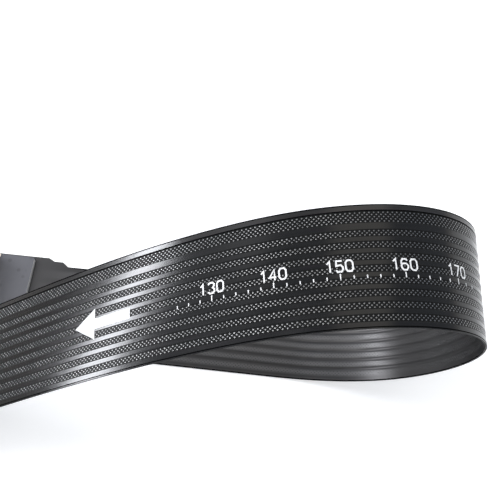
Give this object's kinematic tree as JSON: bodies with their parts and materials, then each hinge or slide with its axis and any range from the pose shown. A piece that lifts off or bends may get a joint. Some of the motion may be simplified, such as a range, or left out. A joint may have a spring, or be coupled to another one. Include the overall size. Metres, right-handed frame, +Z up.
{
  "type": "drive extension ribbon cable",
  "caption": "Flat flexible ribbon extension cable for a gumstick drive, lying in a loose folded loop, with a keyed socket on a small board at one end and a gold-fingered edge plug at the other.",
  "frame": {"origin": "on the resting surface, under the middle of the drive socket's mouth", "axes": "+X along the ribbon's lower leg, away from the socket; +Y across the ribbon; +Z up"},
  "size_m": [0.1758, 0.0585, 0.0576],
  "materials": {
    "ribbon_film": "black cover film with cross-hatched lanes",
    "grey_board": "matte grey laminate",
    "black_moulding": "moulded, fine matte",
    "contact_gold": "gold plated",
    "tinned_metal": "tinned sheet",
    "plug_laminate": "black solder mask"
  },
  "bodies": {
    "root": {"flex_ribbon": "ribbon_film", "socket_board": "grey_board", "socket_housing": "black_moulding", "socket_upper_contacts": "contact_gold", "socket_lower_contacts": "contact_gold", "socket_anchor_near": "tinned_metal", "socket_anchor_far": "tinned_metal", "plug_board": "plug_laminate", "plug_top_fingers": "contact_gold", "plug_bottom_fingers": "contact_gold"}
  },
  "joints": []
}
